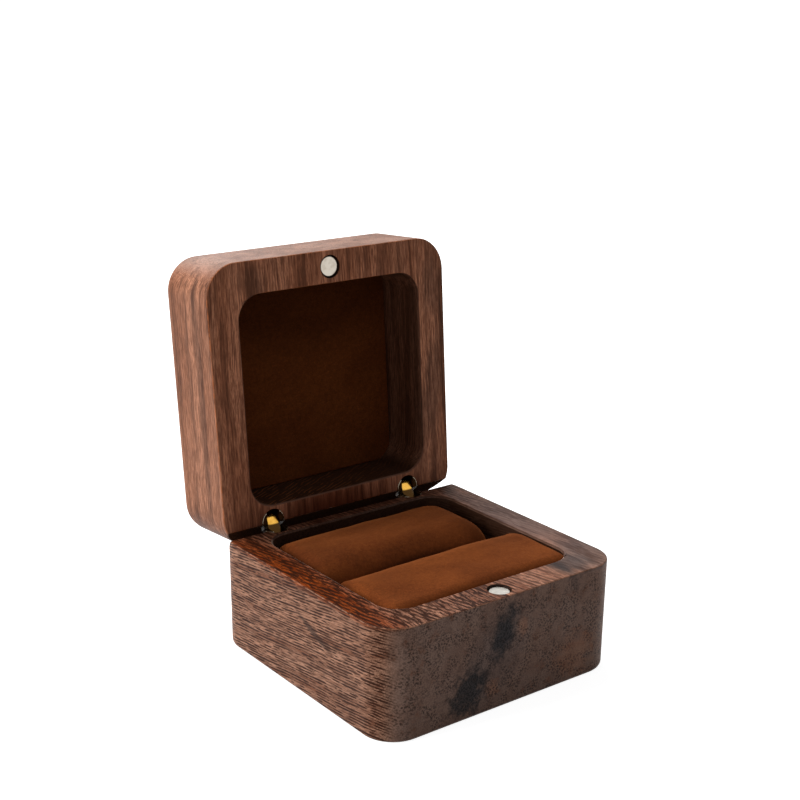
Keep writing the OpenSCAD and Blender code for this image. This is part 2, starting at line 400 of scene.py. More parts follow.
def roll_point(roll, across, along, crown):
    """Point of the top of a roll."""
    (x, tx, rx), (y, ty, ry) = across, along
    ring = max(abs(tx), abs(ty))
    norm = (abs(tx) ** PLAN_POWER + abs(ty) ** PLAN_POWER) ** (1 / PLAN_POWER)
    pull = ring / norm if norm > 0 else 1
    px = x - rx * tx * (1 - pull)
    py = y - ry * ty * (1 - pull)
    radius = (rx * abs(tx) + ry * abs(ty)) / max(abs(tx) + abs(ty), TINY)
    drop = radius * (1 - math.sqrt(1 - ring * ring))
    middle = (roll.low + roll.high) / 2
    half = (roll.high - roll.low) / 2
    arch = crown * (((px - middle.x) / half.x) ** 2 + ARCH_IN_DEPTH * ((py - middle.y) / half.y) ** 2)
    return Vector((px, py, roll.high.z - drop - arch))


def suede_roll(name, roll, crown, seed):
    """A stuffed roll: crowned top, round shoulders, sides that run down to the board."""
    xs = stations(roll.low.x, roll.high.x, roll.left, roll.right, LONG_STEPS)
    ys = stations(roll.low.y, roll.high.y, roll.front, roll.back, DEEP_STEPS)
    bm = bmesh.new()
    grid = [[bm.verts.new(roll_point(roll, a, b, crown)) for b in ys] for a in xs]
    for i in range(len(xs) - 1):
        for j in range(len(ys) - 1):
            bm.faces.new((grid[i][j], grid[i + 1][j], grid[i + 1][j + 1], grid[i][j + 1]))
    rim = ([grid[i][0] for i in range(len(xs))]
           + [grid[-1][j] for j in range(1, len(ys))]
           + [grid[i][-1] for i in reversed(range(len(xs) - 1))]
           + [grid[0][j] for j in reversed(range(1, len(ys) - 1))])
    middle = (roll.low + roll.high) / 2
    ring = rim
    for k in range(1, SIDE_LEVELS + 1):
        share = k / SIDE_LEVELS
        pinch = 1 - WAIST * math.sin(math.pi * share) - TUCK * share ** TUCK_POWER
        lower = []
        for v in rim:
            z = v.co.z + (roll.low.z - v.co.z) * share
            lower.append(bm.verts.new((middle.x + (v.co.x - middle.x) * pinch,
                                       middle.y + (v.co.y - middle.y) * pinch, z)))
        for i in range(len(ring)):
            j = (i + 1) % len(ring)
            bm.faces.new((ring[i], lower[i], lower[j], ring[j]))
        ring = lower
    bm.faces.new(ring)
    for v in bm.verts:
        ruffle(v, roll, seed)
    for face in bm.faces:
        face.smooth = True
    return new_object(name, mesh_from(bm, name))


def ruffle(v, roll, seed):
    """Lets the suede lie a little unevenly over its foam, and flat on its board."""
    stretch_x, stretch_y = RUFFLE_STRETCH
    at = Vector((v.co.x / RUFFLE_WAVE * stretch_x, v.co.y / RUFFLE_WAVE * stretch_y,
                 v.co.z / RUFFLE_WAVE + seed))
    above = max(0, min(1, (v.co.z - roll.low.z) / (roll.high.z - roll.low.z)))
    v.co.z += RUFFLE * (noise.noise(at) - RUFFLE_SINK) * above
    v.co.z += FINE_RUFFLE * noise.noise(at * FINE_WAVES) * above


# ------------------------------------------------------------ materials ----

class Nodes:
    """Short hand for building a node tree."""

    def __init__(self, tree):
        self.tree = tree
        tree.nodes.clear()

    def make(self, kind, **settings):
        """A node with its properties set."""
        made = self.tree.nodes.new(kind)
        for key, value in settings.items():
            setattr(made, key, value)
        return made

    def put(self, socket, value):
        """Links or sets a socket."""
        if isinstance(value, bpy.types.NodeSocket):
            self.tree.links.new(value, socket)
        else:
            socket.default_value = value

    def fill(self, kind, values, **settings):
        """A node with these sockets filled, by name or number."""
        made = self.make(kind, **settings)
        for key, value in values.items():
            self.put(made.inputs[key], value)
        return made

    def place(self, scale=(1, 1, 1), turn=(0, 0, 0), shift=(0, 0, 0), of=None):
        """Object coordinates in millimetres, or others: stretched, turned in degrees, then shifted."""
        if of is None:
            source = self.make("ShaderNodeTexCoord").outputs["Object"]
            scale = tuple(s / MM for s in scale)
        else:
            source = of
        turned = tuple(math.radians(t) for t in turn)
        values = {"Vector": source, "Location": shift, "Rotation": turned, "Scale": scale}
        return self.fill("ShaderNodeMapping", values).outputs["Vector"]

    def normal(self):
        """The normal in object space."""
        return self.make("ShaderNodeTexCoord").outputs["Normal"]

    def noise(self, at, detail=2, rough=0.5):
        """Noise value, about 0.5."""
        values = {"Vector": at, "Scale": 1.0, "Detail": detail, "Roughness": rough}
        return self.fill("ShaderNodeTexNoise", values).outputs["Fac"]

    def dots(self, at):
        """Distance to the nearest of points scattered over the first two coordinates."""
        values = {"Vector": at, "Scale": 1.0}
        return self.fill("ShaderNodeTexVoronoi", values, voronoi_dimensions="2D").outputs["Distance"]

    def calc(self, operation, a, b=0.0):
        """Math on numbers."""
        return self.fill("ShaderNodeMath", {0: a, 1: b}, operation=operation).outputs[0]

    def times(self, first, *others):
        """Product of numbers."""
        product = first
        for other in others:
            product = self.calc("MULTIPLY", product, other)
        return product

    def vector(self, operation, a, b=(0, 0, 0)):
        """Math on vectors that gives a vector."""
        return self.fill("ShaderNodeVectorMath", {0: a, 1: b}, operation=operation).outputs["Vector"]

    def dot(self, a, b):
        """Dot product."""
        return self.fill("ShaderNodeVectorMath", {0: a, 1: b}, operation="DOT_PRODUCT").outputs["Value"]

    def length(self, vector):
        """Length of a vector."""
        return self.fill("ShaderNodeVectorMath", {0: vector}, operation="LENGTH").outputs["Value"]

    def span(self, value, low, high, to_low=0.0, to_high=1.0):
        """Maps low..high to to_low..to_high, smoothly and clamped."""
        values = {0: value, 1: low, 2: high, 3: to_low, 4: to_high}
        return self.fill("ShaderNodeMapRange", values, interpolation_type="SMOOTHSTEP").outputs[0]

    def split(self, vector):
        """The coordinates of a vector, by name."""
        return self.fill("ShaderNodeSeparateXYZ", {0: vector}).outputs

    def join(self, x, y, z):
        """Vector of three numbers."""
        return self.fill("ShaderNodeCombineXYZ", {0: x, 1: y, 2: z}).outputs[0]

    def blend(self, share, a, b):
        """Mix of two numbers."""
        return self.fill("ShaderNodeMix", {0: share, 2: a, 3: b}, data_type="FLOAT").outputs[0]

    def mix(self, share, a, b, mode="MIX"):
        """Mix of two colours."""
        values = {0: share, 6: a, 7: b}
        return self.fill("ShaderNodeMix", values, data_type="RGBA", blend_type=mode).outputs[2]

    def tint(self, share, tone, colour):
        """A tone, of which a share is multiplied by a colour."""
        return self.mix(share, tone, self.mix(1.0, tone, colour, "MULTIPLY"))

    def bump(self, height, depth, strength, under=None):
        """Bump of a height, depth in metres."""
        values = {"Height": height, "Distance": depth, "Strength": strength}
        if under is not None:
            values["Normal"] = under
        return self.fill("ShaderNodeBump", values).outputs["Normal"]

    def spot(self, at, centre, radii, turn=(0, 0, 0)):
        """Soft spot around a point, 1 in its middle."""
        local = self.place(shift=tuple(-c for c in centre), of=at)
        turned = self.place(turn=turn, of=local)
        shrunk = self.place(scale=tuple(1 / r for r in radii), of=turned)
        return self.span(self.length(shrunk), 1.0, 0.0)

    def shader(self, kind, **sockets):
        """A shader with these sockets, underscores for spaces."""
        values = {key.replace("_", " "): value for key, value in sockets.items()}
        return self.fill(kind, values).outputs[0]

    def mix_shader(self, share, a, b):
        """Mix of two shaders."""
        return self.fill("ShaderNodeMixShader", {0: share, 1: a, 2: b}).outputs[0]

    def seen_directly(self):
        """1 for camera, glossy and transmission rays."""
        rays = self.make("ShaderNodeLightPath").outputs
        seen = self.calc("MAXIMUM", rays["Is Camera Ray"], rays["Is Glossy Ray"])
        return self.calc("MAXIMUM", seen, rays["Is Transmission Ray"])


class MaterialNodes(Nodes):
    """The node tree of a new material."""

    def __init__(self, name):
        self.material = bpy.data.materials.new(name)
        self.material.use_nodes = True
        super().__init__(self.material.node_tree)
        self.out = self.make("ShaderNodeOutputMaterial")

    def finish(self, **sockets):
        """The material, with a principled shader of these sockets."""
        shader = self.shader("ShaderNodeBsdfPrincipled", **sockets)
        self.put(self.out.inputs["Surface"], shader)
        return self.material


def rgb(red, green, blue):
    """Colour from 0..255 screen values."""
    def linear(c):
        c /= 255
        return c / 12.92 if c <= 0.04045 else ((c + 0.055) / 1.055) ** 2.4
    return (linear(red), linear(green), linear(blue), 1)


# --------------------------------------------------------------- walnut ----
# Its places and radii are in millimetres of the half frame, and its grain runs along Y

# Cells of its noises and dots per millimetre
FIGURE_CELLS = (0.2, 0.018, 0.2)
BAND_CELLS = (0.7, 0.03, 0.7)
FIBRE_CELLS = (4.6, 0.4, 4.6)
WANDER_CELLS = (0.08, 0.03, 0.08)
CROWD_CELLS = (0.45, 0.12, 0.45)
WOBBLE_CELLS = (0.9, 0.12, 0.9)
DASH_CELLS = (6.4, 0.5, 6.4)
STREAK_CELLS = (3.0, 0.11, 3.0)
DOT_CELLS = (1.7, 1.7, 1.7)
SPECK_CELLS = (2.7, 2.7, 2.7)
CLOUD_CELLS = (0.6, 0.1, 0.12)
EDGE_WEAR_AND_HIGHLIGHT_CELLS = (0.9, 0.9, 0.9)
SAW_SWAY_CELLS = (0.25, 0.25, 0.25)
SKIP_CELLS = (0.35, 1.0, 1.0)
RAW_CELLS = (4.2, 0.5, 4.2)

# Rows of long pores: their pitch and wobble, the noise that breaks them, and their width
PORE_PITCH = 0.44
ROW_WOBBLE = 0.3
ROW_APART = 3.71
ROW_CELLS = 0.3
ROW_WIDTH = 0.35

# Saw marks on the end-grain walls of the pocket: pitch, waviness, and slope in degrees
SAW_PITCH = 0.9
SAW_SWAY = 1.5
SAW_SLOPE = 31

# Slope of the clouds on the end grain, in degrees
CLOUD_SLOPE = -20

# Tones that multiply the wood; the third is painted shade on end grain that faces the rear
CLOUD_PALE = (0.8, 0.96, 1.14, 1)
CLOUD_DULL = (0.73, 0.87, 1.04, 1)
REAR_PAINTED_SHADE = (0.5, 0.45, 0.41, 1)
INK = rgb(134, 150, 165)
WARM = (1.7, 1.35, 1.1, 1)

# Tones that cover it (pores; painted shade on the pocket edges, in the magnet bore and on the pocket walls;
# saw marks), how much the first ones do, and how far a calm spot weakens the pores
LONG_PORE = rgb(40, 17, 7)
END_PORE = rgb(16, 10, 9)
POCKET_EDGE_PAINTED_SHADE = rgb(60, 38, 28)
BORE_PAINTED_SHADE = rgb(14, 9, 7)
WALL_PAINTED_SHADE = rgb(37, 19, 9)
SAWN_TONE = rgb(128, 80, 50)
PORE_COVER = 0.97
BORE_COVER = 0.85
CALMED = 0.75


class StainAndPaintedLight:
    """Spot in which a colour multiplies the wood, ragged along the growth bands. Most are stains; the lists
    mark those that are painted light and painted shade.
    """

    def __init__(self, centre, radii, colour, turn=(0, 0, 0), ragged=0.0, strength=1.0):
        self.centre, self.radii, self.turn = centre, radii, turn
        self.colour, self.ragged, self.strength = colour, ragged, strength


class Timber:
    """What makes the walnut of one half its own."""

    def __init__(self, tones, lie, layers, pores, walls, stains, calm, streaky, pocket_edge):
        # Pale and middle tone, tone of bands and fibres, tone of the outer edges: wear with a painted
        # highlight
        self.pale, self.mid, self.dark, self.edge = tones
        # How the grain lies in the block: tilt in degrees, shift, and how far it wanders
        self.tilt, self.shift, self.sway = lie
        # Direction across the rows of pores, and how strong the pores are
        self.layers, self.pores = layers, pores
        # How much painted shade darkens the long-grain and the end-grain walls of the pocket, and how
        # strong the saw marks
        self.side_wall, self.end_wall, self.sawn = walls
        # Stains and spots of painted light and shade, centre and radii of the plain wood, and those of the
        # dark streaks and their strength
        self.stains, self.calm, self.streaky = stains, calm, streaky
        # Side towards which the pocket's edge gets a painted highlight, and the tone of that highlight; the
        # edges facing away get painted shade
        self.lit_side, self.lit_edge = pocket_edge


class Zones:
    """Where a point of a wooden half lies and how the wood is cut there.

    at, x, z: place in millimetres; level: 1 on a level face, 0 on an upright one
    end_grain: 1 where the grain ends; rear: 1 where the face looks to the rear
    inside: 1 over the pocket; wall: 1 on its walls; outer_end: end grain elsewhere
    """

    def __init__(self, n, s):
        self.at = n.place()
        place, normal = n.split(self.at), n.split(n.normal())
        self.x, self.z = place["X"], place["Z"]
        self.end_grain = n.span(n.calc("ABSOLUTE", normal["Y"]), 0.55, 0.95)
        self.rear = n.span(normal["Y"], 0.5, 0.9)
        self.level = n.calc("ABSOLUTE", normal["Z"])
        half_x, half_y, floor = s.pocket_high.x / MM, s.pocket_high.y / MM, s.low.z / MM
        self.inside = n.times(n.span(n.calc("ABSOLUTE", place["X"]), half_x + 1.0, half_x + 0.6),
                              n.span(n.calc("ABSOLUTE", place["Y"]), half_y + 1.0, half_y + 0.6))
        self.wall = n.times(self.inside, n.span(self.z, -0.2, -0.5),
                            n.span(self.z, floor + 0.8, floor + 1.2))
        self.outer_end = n.times(self.end_grain, n.calc("SUBTRACT", 1.0, self.wall))


def grain_space(n, t):
    """Object space in millimetres with the grain along Y, tilted and gently waving."""
    values = {"Vector": n.place(scale=WANDER_CELLS, shift=t.shift), "Scale": 1.0, "Detail": 2.0}
    wander = n.fill("ShaderNodeTexNoise", values).outputs["Color"]
    centred = n.vector("SUBTRACT", wander, (0.5, 0.5, 0.5))
    swayed = n.vector("MULTIPLY", centred, (t.sway, 0.0, t.sway))
    return n.vector("ADD", n.place(turn=(t.tilt, 0, 0), shift=t.shift), swayed)


def figure_tone(n, t, zones, grain, bands, fibres, calm):
    """Tone of the clean wood: broad figure, growth bands and fibres."""
    figure = n.noise(n.place(scale=FIGURE_CELLS, of=grain), detail=3, rough=0.55)
    tone = n.mix(n.span(figure, 0.38, 0.62), t.mid, t.pale)
    band = n.times(n.span(bands, 0.46, 0.66, 0.0, 0.6), n.span(zones.end_grain, 0.0, 1.0, 1.0, 0.35))
    tone = n.mix(band, tone, t.dark)
    fine = n.times(n.span(fibres, 0.38, 0.62, 0.0, 0.6), n.span(zones.end_grain, 0.0, 1.0, 1.0, 0.4),
                   n.span(calm, 0.2, 1.0, 0.4, 1.0))
    return n.mix(fine, tone, t.dark)


def stained_and_painted(n, t, zones, bands, tone):
    """The tone with its stains and its spots of painted light and shade, and how far the ink-blue stains
    cover a point.
    """
    inked = 0.0
    for stain in t.stains:
        spot = n.spot(zones.at, stain.centre, stain.radii, stain.turn)
        noisy = n.times(n.calc("SUBTRACT", bands, 0.5), stain.ragged)
        share = n.span(n.calc("ADD", spot, noisy), 0.15, 0.85, 0.0, stain.strength)
        tone = n.tint(share, tone, stain.colour)
        if stain.colour == INK:
            inked = n.calc("MAXIMUM", inked, share)
    return tone, inked


def long_pores(n, t, zones, grain, crowd):
    """Pores cut along: rows of broken dashes, short dashes between them, and dark streaks."""
    wobble = n.times(n.noise(n.place(scale=WOBBLE_CELLS, of=grain), rough=0.6), ROW_WOBBLE)
    layer = n.calc("ADD", n.dot(grain, t.layers), wobble)
    off_row = n.calc("PINGPONG", layer, PORE_PITCH / 2)
    row = n.calc("ROUND", n.calc("DIVIDE", layer, PORE_PITCH))
    axes = n.split(grain)
    in_row = n.join(n.times(row, ROW_APART), n.times(axes["Y"], ROW_CELLS),
                    n.times(n.calc("SUBTRACT", axes["X"], axes["Z"]), ROW_CELLS))
    broken = n.noise(in_row, rough=0.6)
    width = n.times(n.calc("SUBTRACT", broken, 0.5), ROW_WIDTH)
    rows = n.times(n.span(n.calc("SUBTRACT", width, off_row), -0.14, -0.07), n.span(broken, 0.37, 0.5))
    short = n.noise(n.place(scale=DASH_CELLS, shift=(9, 4, 2), of=grain), detail=1, rough=0.4)
    dashes = n.calc("MAXIMUM", rows, n.span(short, 0.54, 0.59, 0.0, 0.6))
    dashes = n.times(dashes, n.span(crowd, 0.3, 0.5, 0.75 * t.pores, t.pores))
    centre, radii, strength = t.streaky
    streaks = n.noise(n.place(scale=STREAK_CELLS, shift=(2, 7, 4), of=grain), detail=3, rough=0.6)
    streaks = n.times(n.span(streaks, 0.47, 0.57, 0.0, strength),
                      n.span(n.spot(zones.at, centre, radii), 0.1, 0.5))
    return n.calc("MAXIMUM", dashes, streaks)


def end_pores(n, t, zones, crowd, inked):
    """Pores cut across: dots and finer specks, thicker where inked and faint at the rear."""
    dots = n.dots(n.place(scale=DOT_CELLS, turn=(90, 0, 0), of=zones.at))
    dots = n.times(n.span(dots, 0.36, 0.22),
                   n.calc("MAXIMUM", inked, n.span(crowd, 0.36, 0.62, 0.1, 0.9)))
    specks = n.dots(n.place(scale=SPECK_CELLS, turn=(90, 0, 0), shift=(5, 3, 0), of=zones.at))
    specks = n.times(n.span(specks, 0.42, 0.18),
                     n.calc("MAXIMUM", inked, n.span(crowd, 0.3, 0.6, 0.2, 0.65)))
    return n.times(n.calc("MAXIMUM", dots, specks),
                   n.span(zones.rear, 0.0, 1.0, 0.35 + 0.5 * t.pores, 0.3))


def end_tone(n, zones, tone):
    """Cooler, cloudy end grain outside the pocket, with painted shade on the end grain that faces the rear.
    """
    slanted = n.place(turn=(0, CLOUD_SLOPE, 0), of=zones.at)
    clouds = n.span(n.noise(n.place(scale=CLOUD_CELLS, of=slanted), rough=0.6), 0.42, 0.6)
    tone = n.tint(zones.outer_end, tone, n.mix(clouds, CLOUD_PALE, CLOUD_DULL))
    return n.tint(n.times(zones.rear, zones.end_grain), tone, REAR_PAINTED_SHADE)


def edge_tone(n, t, zones, tone):
    """Edges of the rim: outside, wear with a painted highlight here and there; all along the pocket, a
    painted highlight on the edges facing lit_side and painted shade on those facing away.
    """
    on_edge = n.times(n.span(zones.level, 0.15, 0.5), n.span(zones.level, 0.98, 0.85),
                      n.span(zones.z, -0.6, -0.3))
    lit = n.span(n.dot(n.normal(), t.lit_side), -0.1, 0.3)
    edge = n.mix(zones.inside, t.edge, n.mix(lit, POCKET_EDGE_PAINTED_SHADE, t.lit_edge))
    # Noise that breaks up the wear and painted highlight on the outer edges
    worn = n.noise(n.place(scale=EDGE_WEAR_AND_HIGHLIGHT_CELLS), detail=3, rough=0.6)
    wear_and_highlight = n.blend(zones.inside, n.span(worn, 0.42, 0.62, 0.05, 0.6), 0.8)
    return n.mix(n.times(on_edge, wear_and_highlight), tone, edge)


def bore_tone(n, s, zones, tone):
    """Painted shade on the wall of the magnet bore."""
    radius, floor = s.magnet_r / MM, s.magnet_floor / MM
    off_axis = n.length(n.place(scale=(1, 1, 0), shift=(0, -s.magnet_y / MM, 0)))
    hole = n.times(n.span(off_axis, radius + 0.4, radius + 0.15), n.span(zones.z, -0.03, -0.18),
                   n.span(zones.z, floor - 0.5, floor - 0.2))
    return n.mix(n.times(hole, BORE_COVER), tone, BORE_PAINTED_SHADE)


def saw_marks(n, t, zones):
    """Slanting saw marks on the end-grain walls of the pocket, stronger towards +X."""
    sawn = n.place(turn=(0, SAW_SLOPE, 0))
    sway = n.times(n.noise(n.place(scale=SAW_SWAY_CELLS), detail=1), SAW_SWAY)
    ridge = n.calc("PINGPONG", n.calc("ADD", n.split(sawn)["Z"], sway), SAW_PITCH / 2)
    skipped = n.noise(n.place(scale=SKIP_CELLS, of=sawn), rough=0.6)
    return n.times(n.span(ridge, 0.27, 0.38), n.span(skipped, 0.42, 0.56), zones.wall, zones.end_grain,
                   n.span(zones.x, -16.0, 12.0, 0.25 * t.sawn, t.sawn))


def walnut(name, t, s):
    """Oiled walnut, whose open pores are dashes on the long grain and dots on the end grain."""
    n = MaterialNodes(name)
    zones = Zones(n, s)
    grain = grain_space(n, t)
    bands = n.noise(n.place(scale=BAND_CELLS, of=grain), detail=3, rough=0.6)
    fibres = n.noise(n.place(scale=FIBRE_CELLS, of=grain), detail=3, rough=0.7)
    crowd = n.noise(n.place(scale=CROWD_CELLS, of=grain))
    calm = n.calc("SUBTRACT", 1.0, n.times(n.spot(zones.at, *t.calm), CALMED))

    tone = figure_tone(n, t, zones, grain, bands, fibres, calm)
    tone, inked = stained_and_painted(n, t, zones, bands, tone)
    pores = n.blend(zones.end_grain, long_pores(n, t, zones, grain, crowd),
                    end_pores(n, t, zones, crowd, inked))
    pores = n.times(pores, calm)
    tone = n.mix(n.times(pores, PORE_COVER), tone, n.mix(zones.end_grain, LONG_PORE, END_PORE))
    tone = end_tone(n, zones, tone)
    tone = edge_tone(n, t, zones, tone)
    tone = bore_tone(n, s, zones, tone)
    # Painted shade on the walls of the pocket
    walls = n.times(zones.wall, n.blend(zones.end_grain, t.side_wall, t.end_wall))
    tone = n.mix(walls, tone, WALL_PAINTED_SHADE)
    marks = saw_marks(n, t, zones)
    tone = n.mix(marks, tone, SAWN_TONE)

    relief = n.calc("SUBTRACT", n.times(fibres, 0.3), pores)
    relief = n.calc("ADD", relief, n.times(marks, 0.6))
    return n.finish(Base_Color=tone, Roughness=n.span(fibres, 0.3, 0.7, 0.42, 0.56),
                    Specular_IOR_Level=0.05, Normal=n.bump(relief, 0.03 * MM, 0.7))


def raw_walnut(name):
    """Unoiled walnut of the rear bevels, darkened as painted shade in the crease between the halves."""
    n = MaterialNodes(name)
    fibres = n.noise(n.place(scale=RAW_CELLS), detail=3, rough=0.7)
    tone = n.mix(n.span(fibres, 0.35, 0.65), rgb(52, 32, 22), rgb(78, 49, 34))
    return n.finish(Base_Color=tone, Roughness=0.9, Specular_IOR_Level=0.0,
                    Normal=n.bump(fibres, 0.02 * MM, 0.6))


# ------------------------------------------------------ other materials ----

# Cells per millimetre
STROKE_CELLS = (0.11, 0.16, 0.16)
NAP_CELLS = (1.3, 1.3, 1.3)
FUZZ_CELLS = (3.2, 3.2, 3.2)
RUB_CELLS = (6.0, 1.2, 6.0)
TARNISH_CELLS = (0.8, 0.8, 0.8)
BOARD_CELLS = (1.2, 4.0, 4.0)

# Tones that multiply the suede, and the colour of its sheen
NAP_SHADE = rgb(150, 140, 130)
FUZZ_SHADE = rgb(120, 110, 100)
FUZZ_LIGHT = (1.5, 1.45, 1.4, 1)
SUEDE_SHEEN = rgb(196, 116, 62)

# Painted shade on the lower part of the link blocks, and how much rougher metal is where it was handled
LINK_PAINTED_SHADE = rgb(66, 46, 22)
HANDLED = 0.16


def suede(name, pale, dark, hollow, hollow_radii, painted_shade_tone):
    """Brushed microsuede: fine nap, broader strokes where a finger went, and painted shade around one spot.
    """
    n = MaterialNodes(name)
    strokes = n.noise(n.place(scale=STROKE_CELLS, turn=(0, 0, 18)), detail=1)
    nap = n.noise(n.place(scale=NAP_CELLS), detail=3, rough=0.7)
    fuzz = n.noise(n.place(scale=FUZZ_CELLS), rough=0.6)
    tone = n.mix(n.span(strokes, 0.3, 0.7), dark, pale)
    uneven = n.times(n.calc("SUBTRACT", strokes, 0.5), 0.6)
    # Painted shade around the given point, ragged along the strokes
    shade = n.calc("ADD", n.spot(n.place(), hollow, hollow_radii), uneven)
    tone = n.tint(n.span(shade, 0.08, 0.5), tone, painted_shade_tone)
    tone = n.tint(n.span(nap, 0.3, 0.75, 0.0, 0.4), tone, NAP_SHADE)
    tone = n.tint(n.span(fuzz, 0.5, 0.8, 0.0, 0.3), tone, FUZZ_SHADE)
    tone = n.tint(n.span(fuzz, 0.46, 0.34, 0.0, 0.55), tone, FUZZ_LIGHT)
    under = n.bump(nap, 0.05 * MM, 0.7)
    return n.finish(Base_Color=tone, Roughness=0.95, Specular_IOR_Level=0.05,
                    Sheen_Weight=0.35, Sheen_Roughness=0.5, Sheen_Tint=SUEDE_SHEEN,
                    Normal=n.bump(fuzz, 0.02 * MM, 0.6, under))


def metal(name, colour, worn, rough, painted_shade_below=None):
    """Polished metal with faint handling marks, and painted shade below a height in millimetres."""
    n = MaterialNodes(name)
    marks = n.noise(n.place(scale=RUB_CELLS, turn=(20, 0, 35)), detail=3, rough=0.7)
    tarnish = n.noise(n.place(scale=TARNISH_CELLS), detail=3, rough=0.6)
    tone = n.mix(n.span(tarnish, 0.42, 0.7), colour, worn)
    if painted_shade_below is not None:
        # Painted shade on the part of the link block that dips between the halves
        height = n.split(n.place())["Z"]
        tone = n.mix(n.span(height, painted_shade_below, painted_shade_below - LINK_SHADE_OVER), tone, LINK_PAINTED_SHADE)
    roughness = n.span(marks, 0.3, 0.75, rough, rough + HANDLED)
    return n.finish(Base_Color=tone, Metallic=1.0, Roughness=roughness,
                    Normal=n.bump(marks, 0.004 * MM, 0.6))


def cardboard(name):
    """Grey board with pressed fibres."""
    n = MaterialNodes(name)
    fibres = n.noise(n.place(scale=BOARD_CELLS, turn=(0, 0, 30)), detail=4, rough=0.7)
    tone = n.mix(n.span(fibres, 0.3, 0.7), rgb(96, 84, 72), rgb(140, 126, 108))
    return n.finish(Base_Color=tone, Roughness=0.9, Normal=n.bump(fibres, 0.02 * MM, 0.6))


# ---------------------------------------------------------------- stage ----

def add_camera():
    """Camera at the photograph's viewing angle."""
    data = bpy.data.cameras.new("camera")
    data.sensor_width = SENSOR
    data.lens = CAMERA_LENS
    data.shift_x, data.shift_y = CAMERA_SHIFT
    data.clip_start, data.clip_end = CAMERA_CLIP
    camera = new_object("camera", data)
    a, e, r = (math.radians(x) for x in (CAMERA_AZIMUTH, CAMERA_ELEVATION, CAMERA_ROLL))
    back = Vector((math.sin(a) * math.cos(e), -math.cos(a) * math.cos(e), math.sin(e)))
    right = Vector((math.cos(a), math.sin(a), 0))
    up = back.cross(right)
    rolled_right = right * math.cos(r) + up * math.sin(r)
    rolled_up = up * math.cos(r) - right * math.sin(r)
    turn = Matrix((rolled_right, rolled_up, back)).transposed().to_4x4()
    camera.matrix_world = Matrix.Translation(CAMERA_AT) @ turn
    bpy.context.scene.camera = camera


def add_lamp(name, at, aim, size, watts):
    """Soft square lamp."""
    data = bpy.data.lights.new(name, "AREA")
    data.size = size
    data.energy = watts
    lamp = new_object(name, data)
    direction = Vector(aim) - Vector(at)
    lamp.matrix_world = Matrix.Translation(at) @ direction.to_track_quat("-Z", "Y").to_matrix().to_4x4()


def add_world():
    """White where it is seen, a soft pale grey where it lights."""
    world = bpy.data.worlds.new("studio")
    bpy.context.scene.world = world
    world.use_nodes = True
    n = Nodes(world.node_tree)
    light = n.shader("ShaderNodeBackground", Color=SKY, Strength=SKY_STRENGTH)
    white = n.shader("ShaderNodeBackground", Color=WHITE)
    mixed = n.mix_shader(n.seen_directly(), light, white)
    n.fill("ShaderNodeOutputWorld", {"Surface": mixed})


def add_floor():
    """Large white floor that keeps a faint shadow."""
    bm = bmesh.new()
    bmesh.ops.create_grid(bm, x_segments=1, y_segments=1, size=FLOOR_REACH)
    floor = new_object("floor", mesh_from(bm, "floor"))
    n = MaterialNodes("white floor")
    strength = n.span(n.length(n.place()), GLOW_NEAR, GLOW_FAR, GLOW_LOW, GLOW_FULL)
    paper = n.shader("ShaderNodeBsdfDiffuse", Color=FLOOR_LIT)
    shown = n.shader("ShaderNodeBsdfDiffuse", Color=FLOOR_SEEN)
    glow = n.shader("ShaderNodeEmission", Color=WHITE, Strength=strength)
    bright = n.fill("ShaderNodeAddShader", {0: shown, 1: glow}).outputs[0]
    n.put(n.out.inputs["Surface"], n.mix_shader(n.seen_directly(), paper, bright))
    floor.data.materials.append(n.material)


# ------------------------------------------------------------- assembly ----

BASE_STAINS_AND_PAINTED_LIGHT = (
    # Rim: left arm, the whole, front arm, right arm and its corner, and painted shadow of the lid on the
    # rear arm
    StainAndPaintedLight((-24, -2, 0.3), (9, 60, 1.8), rgb(224, 150, 70), ragged=0.4),
    StainAndPaintedLight((0, 0, 0.3), (90, 90, 0.9), (1.15, 1.0, 0.95, 1)),
    StainAndPaintedLight((-4, -24, 0.3), (16, 10, 1.6), (1.12, 1.11, 1.1, 1)),
    StainAndPaintedLight((25, -1, 0.3), (16, 33, 1.8), (0.48, 0.63, 0.83, 1), ragged=0.3),
    StainAndPaintedLight((22, -20, 0.3), (16, 14, 1.8), (0.52, 0.66, 0.82, 1), ragged=0.3),
    StainAndPaintedLight((4, 28, 0.3), (60, 26, 1.8), rgb(138, 118, 108), ragged=0.6),
    # Front: grey middle, warm patches, ink stains
    StainAndPaintedLight((-3, -25, -10), (11, 30, 16), rgb(200, 213, 228), (0, -30, 0), 0.6, 0.55),
    StainAndPaintedLight((2.8, -25, -6.4), (2.4, 30, 3.0), WARM, (0, 20, 0), 2.0, 0.7),
    StainAndPaintedLight((-3.6, -25, -15.5), (2.6, 30, 2.8), WARM, (0, 20, 0), 2.0, 0.7),
    StainAndPaintedLight((15, -25, -15.5), (8, 30, 8), WARM, (0, 20, 0), 2.2, 0.5),
    StainAndPaintedLight((-1.2, -25, -6.4), (4.4, 30, 9.2), INK, (0, -20, 0), 1.5, 1.0),
    StainAndPaintedLight((-8.4, -25, -15.0), (6.4, 30, 8.2), INK, (0, -32, 0), 1.6, 1.0),
    # Right front corner: ink that runs over the edge, and its smudge on the rim
    StainAndPaintedLight((14.1, -20, -0.6), (3.2, 12, 5.0), INK, (0, 30, 0), 1.6, 0.95),
    StainAndPaintedLight((16.5, -21, 0), (7, 6, 1.4), rgb(166, 184, 200), (0, 0, -24), 1.4, 0.8),
    # Left side: ink line
    StainAndPaintedLight((-25, -5, -7), (4, 10, 1.2), INK, (-23, 0, 0), 0.8, 0.8))

